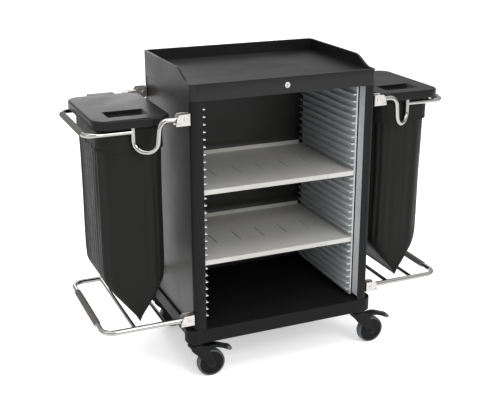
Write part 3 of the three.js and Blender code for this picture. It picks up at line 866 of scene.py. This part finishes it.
def add_collar(look, side):
    """The ring that holds the bag's mouth, with flanges on the hoop and ears for the lid's pin."""
    centre = SIDES[side] * BAG_X
    half_x, half_y = COLLAR_HALF
    low, high = COLLAR_Z
    ring = block((centre - half_x, centre + half_x), (-half_y, half_y), COLLAR_Z, corner=54)
    sunk(ring, level_faces(ring, high), 3, (0, 0, -71))
    ends = level_faces(ring, high - 71) + level_faces(ring, low, down=True)
    bmesh.ops.delete(ring, geom=ends, context="FACES")
    rims = [edge for edge in ring.edges if edge.is_boundary]
    bmesh.ops.bridge_loops(ring, edges=rims)
    bmesh.ops.recalc_face_normals(ring, faces=ring.faces)
    soften(ring, 0.8)
    flanges = [
        flipped(block((centre - 90, centre + 90), (160, 183), (904.4, 907.2), edge=0.8), y=end)
        for end in (-1, 1)
    ]
    hinge_x = SIDES[side] * LID_X
    ear = [(155, 904.6), (214, 904.6), (217, 908), (217, 925), (212, 933), (204, 933), (199, 927),
           (199, 911), (155, 911)]
    ears = [prism(ear, "x", (hinge_x + x - 5, hinge_x + x + 5), edge=1) for x in (-54, 54)]
    piece(
        f"mouth_collar_{side}", [ring, *flanges, *ears], look["abs"], f"hoop_{side}",
        [f"bag_collar_{side}"],
    )
    pin = turned([(0, -55), (2.9, -55), (2.9, 55), (0, 55)], "x", HINGE, 20)
    bmesh.ops.translate(pin, vec=(hinge_x, 0, 0), verts=pin.verts)
    piece(f"lid_pin_{side}", [pin], look["zinc"], f"hoop_{side}")


def add_lid(look, side):
    """A crowned cap with a skirt, a finger recess that ramps out, and the hinge knuckle."""
    c = SIDES[side] * LID_X
    lid = block(
        (c - LID_HALF_WIDTH, c + LID_HALF_WIDTH), (-197, 190), (LID_BOTTOM, LID_TOP), corner=46,
    )
    top_rim = [
        edge for edge in lid.edges
        if all(abs(vert.co.z - LID_TOP) < 0.01 for vert in edge.verts)
    ]
    rounded(lid, top_rim, 7, 5)
    sunk(lid, level_faces(lid, LID_BOTTOM, down=True), 3, (0, 0, 26.4))
    (x1, x2), (y1, y2), wall = RECESS_X, RECESS_Y, RECESS_WALL
    cut(lid, "x", [c + x for x in (x1 - wall, x1, RECESS_RAMP_X, x2, x2 + wall)])
    cut(lid, "y", [y1 - wall, y1, y2, y2 + wall])

    def over(faces, margin):
        centres = [(face, face.calc_center_median()) for face in faces]
        return [
            face for face, at in centres
            if x1 - margin < at.x - c < x2 + margin and y1 - margin < at.y < y2 + margin
        ]

    recess = over(level_faces(lid, LID_TOP), 0)
    well = over(level_faces(lid, LID_TOP - 3, down=True), wall)
    push(lid, well, (0, 0, -RECESS_DEPTH))
    push(lid, recess, (0, 0, -RECESS_DEPTH))
    ramp_end = Vector((c + x2, 0, LID_TOP - RECESS_DEPTH))
    for vert in lid.verts:
        away = vert.co - ramp_end
        if abs(away.x) < 0.01 and abs(away.z) < 0.01:
            vert.co.z = LID_TOP
    bmesh.ops.remove_doubles(lid, verts=lid.verts, dist=1e-3)
    soften(lid, 1.1, beyond=30)
    knuckle = turned(
        [(3.3, -47), (7.2, -47), (8, -46), (8, 46), (7.2, 47), (3.3, 47)], "x", HINGE, 28,
        closed=True,
    )
    bmesh.ops.translate(knuckle, vec=(c, 0, 0), verts=knuckle.verts)
    cover = block((c - 47, c + 47), (184, 216), (HINGE[1], LID_TOP), edge=2)
    piece(
        f"lid_cap_{side}", [lid, knuckle, cover], look["abs_smooth"], f"lid_{side}",
        [f"lid_{side}"],
    )


BAG_SECTIONS = [
    # height, centre, half width, corner radius
    (232, 500, 2, 2), (241, 500, 6, 4), (250, 500, 11, 6), (263, 500, 21, 10), (277, 500, 33, 14),
    (303, 500, 54, 24), (326, 500.5, 73, 34), (350, 500.5, 91, 44), (361, 500.5, 97.5, 48),
    (370, 500.5, 102, 52), (380, 500.5, 105.2, 55), (392, 500.5, 107.5, 58),
    (430, 500.5, BAG_HALF_WIDTH, 60), (620, 500.5, BAG_HALF_WIDTH, 60),
    (903.4, 500.5, BAG_HALF_WIDTH, 48),
]


def bag_section(z):
    """Centre, half width and corner radius of the bag at a height, eased between its sections."""
    for low, high in zip(BAG_SECTIONS, BAG_SECTIONS[1:]):
        if z <= high[0]:
            t = (z - low[0]) / (high[0] - low[0])
            return [a + (b - a) * t for a, b in zip(low[1:], high[1:])]
    return BAG_SECTIONS[-1][1:]


def on_bag(turn, z, inset):
    """A point on the bag's skin and the way it faces: turn goes round once, from 0 to 1."""
    centre, half, radius = bag_section(z)
    depth = BAG_HALF_DEPTH - inset
    half, radius = max(half - inset, 0.8), max(radius - inset, 0.6)
    radius = min(radius, half)
    straight_y, straight_x, arc = depth - radius, half - radius, math.pi / 2 * radius
    around = [arc, 2 * straight_x, arc, 2 * straight_y, arc, 2 * straight_x, arc]
    runs = [straight_y, *around, straight_y]
    s = turn * sum(runs)
    corners = [(1, 1), (-1, 1), (-1, -1), (1, -1)]
    directions = [(0, 1), (-1, 0), (0, -1), (1, 0), (0, 1)]
    starts = [(half, 0), (straight_x, depth), (-half, straight_y), (-straight_x, -depth),
              (half, -straight_y)]
    i = 0
    while s > runs[i] and i < len(runs) - 1:
        s -= runs[i]
        i += 1
    k = i // 2
    if i % 2 == 0:
        (ox, oy), (dx, dy) = starts[k], directions[k]
        return centre + ox + dx * s, oy + dy * s, (dy, -dx)
    cx, cy = corners[k]
    angle = math.pi / 2 * k + s / radius
    nx, ny = math.cos(angle), math.sin(angle)
    return centre + cx * straight_x + radius * nx, cy * straight_y + radius * ny, (nx, ny)


def folds(x, y, z, centre, side):
    """How far the cloth stands in or out: upright pleats at the corners, slow slack between."""
    outer = x > centre
    to_corner = math.hypot(abs(x - centre) - 88, abs(y) - 140)
    at_corner = math.exp(-((to_corner / (80 if outer else 50)) ** 2))
    full = min(max((z - 330) / 90, 0), 1)
    hung = min(max((860 - z) / 200, 0.15), 1)
    around = (x - centre) * 0.9 - y * 1.1
    pleat = math.sin(around / 5 + 0.9 * math.sin(z / 190 + side)) * at_corner
    pleat *= 2.3 + 1.1 * noise.noise(Vector((x / 90, y / 90, z / 260)))
    slack = noise.noise(Vector((x / 120, y / 120, z / 340 + 7 * side))) * 4 * hung
    crease = -abs(noise.noise(Vector((x / 34 + 3, y / 34, z / 520)))) * 3.4 * hung
    return (pleat - 1.6 * at_corner + slack * 0.6 + crease - 1.2) * full


def bag_shell(side, heights, inset, displaced):
    """A ring of cloth edges drawn up through the heights, each ring set on the bag's skin."""
    bm = bmesh.new()
    uv = bm.loops.layers.uv.new("cloth")
    bmesh.ops.create_circle(bm, segments=BAG_STEPS, radius=1)
    ring, level = bm.edges[:], bm.verts[:]
    turns = {vert: i for i, vert in enumerate(level)}
    for k, z in enumerate(heights):
        if k:
            made = bmesh.ops.extrude_edge_only(bm, edges=ring)["geom"]
            level = [item for item in made if isinstance(item, bmesh.types.BMVert)]
            for vert in level:
                below = next(
                    edge.other_vert(vert) for edge in vert.link_edges
                    if edge.other_vert(vert) not in level
                )
                turns[vert] = turns[below]
            ring = [
                item for item in made
                if isinstance(item, bmesh.types.BMEdge) and all(v in level for v in item.verts)
            ]
        centre = bag_section(z)[0]
        for vert in level:
            x, y, normal = on_bag(turns[vert] / BAG_STEPS, z, inset)
            out = displaced(x, y, z, centre, SIDES[side])
            vert.co = (x + normal[0] * out, y + normal[1] * out, z)
    girth = 4 * (BAG_HALF_DEPTH + BAG_HALF_WIDTH)
    for face in bm.faces:
        numbers = [turns[vert] for vert in face.verts]
        wraps = max(numbers) - min(numbers) > 2
        for loop in face.loops:
            n = turns[loop.vert]
            u = (n + BAG_STEPS if wraps and n < 2 else n) / BAG_STEPS * girth
            loop[uv].uv = (u * MM, loop.vert.co.z * MM)
    return bm


def add_bag(look, side):
    """Coated cloth hung from the collar and drawn in to a closed point below."""
    heights = [232 + 6 * k for k in range(40)] + [472 + 12 * k for k in range(36)] + [903.4]
    bag = bag_shell(side, heights, 1.0, folds)
    bottom = [edge for edge in bag.edges if edge.is_boundary and edge.verts[0].co.z < 240]
    bmesh.ops.holes_fill(bag, edges=bottom, sides=0)
    bmesh.ops.recalc_face_normals(bag, faces=bag.faces)
    bmesh.ops.solidify(bag, geom=bag.faces[:], thickness=1.6)
    bmesh.ops.recalc_face_normals(bag, faces=bag.faces)
    made = piece(
        f"bag_cloth_{side}", [flipped(bag, SIDES[side])], look["cloth"], f"hoop_{side}",
        [f"bag_{side}"], even=False,
    )
    squash_bag(made)


def squash_bag(made):
    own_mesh(made)


def add_cuff(look, side):
    """The bag's mouth, folded down over itself below the hoop, with a raised hem."""
    hem = CUFF_HEM

    def loose(x, y, z, centre, sign):
        down = min(max((895 - z) / 60, 0), 1)
        ripple = math.sin((x * 0.9 - y) / 6.5 + sign) * 0.9
        ripple += noise.noise(Vector((x, y, z)) / 45) * 1.2
        turned_under = 0.9 if z < hem + 9 else 0
        return (0.6 + ripple) * down + turned_under

    rises = [0, 0.8, 4, 8.6, 9.6] + [14 + 6 * k for k in range(11)]
    heights = [hem + rise for rise in rises]
    cuff = bag_shell(side, heights, -2.2, loose)
    bmesh.ops.recalc_face_normals(cuff, faces=cuff.faces)
    bmesh.ops.solidify(cuff, geom=cuff.faces[:], thickness=1.4)
    bmesh.ops.recalc_face_normals(cuff, faces=cuff.faces)
    made = piece(
        f"bag_cuff_{side}", [flipped(cuff, SIDES[side])], look["cloth"], f"hoop_{side}",
        even=False,
    )
    squash_bag(made)


# Scene -------------------------------------------------------------------------------------


def add_floor():
    bm = bmesh.new()
    bmesh.ops.create_grid(bm, x_segments=1, y_segments=1, size=120)
    mesh = bpy.data.meshes.new("floor")
    bm.to_mesh(mesh)
    bm.free()
    mesh.materials.append(
        finished(
            "painted_studio_floor", ("f4f4f4", "f8f8f8"), (0.8, 0.9), 900, (40, 0.1),
            Emission_Color=(1, 1, 1, 1), Emission_Strength=0.4,
        )
    )
    floor = bpy.data.objects.new("floor", mesh)
    bpy.context.scene.collection.objects.link(floor)


def add_cart(look):
    add_base(look)
    add_posts(look)
    add_panels(look)
    add_rails(look)
    for name, top in SHELF_TOPS.items():
        add_shelf(look, name, top)
    add_tray(look)
    add_lock(look)
    for end, y_sign in ENDS.items():
        for side, x_sign in SIDES.items():
            name, x, y = f"{end}_{side}", x_sign * CASTER[0], y_sign * CASTER[1]
            add_mount(look, name, x, y)
            add_fork(look, name, x, y)
            add_wheel(look, name, x, y)
            if end == "front":
                add_brake(look, name, x, y)
            add_bracket(look, "upper", end, side, UPPER_Z, UPPER_TUBE_R)
            add_bracket(look, "lower", end, side, LOWER_Z, LOWER_TUBE_R)
    for side in SIDES:
        add_upper_frame(look, side)
        add_lower_frame(look, side)
        add_collar(look, side)
        add_lid(look, side)
        add_bag(look, side)
        add_cuff(look, side)


add_camera()
add_studio()
add_floor()
add_cart(make_materials())
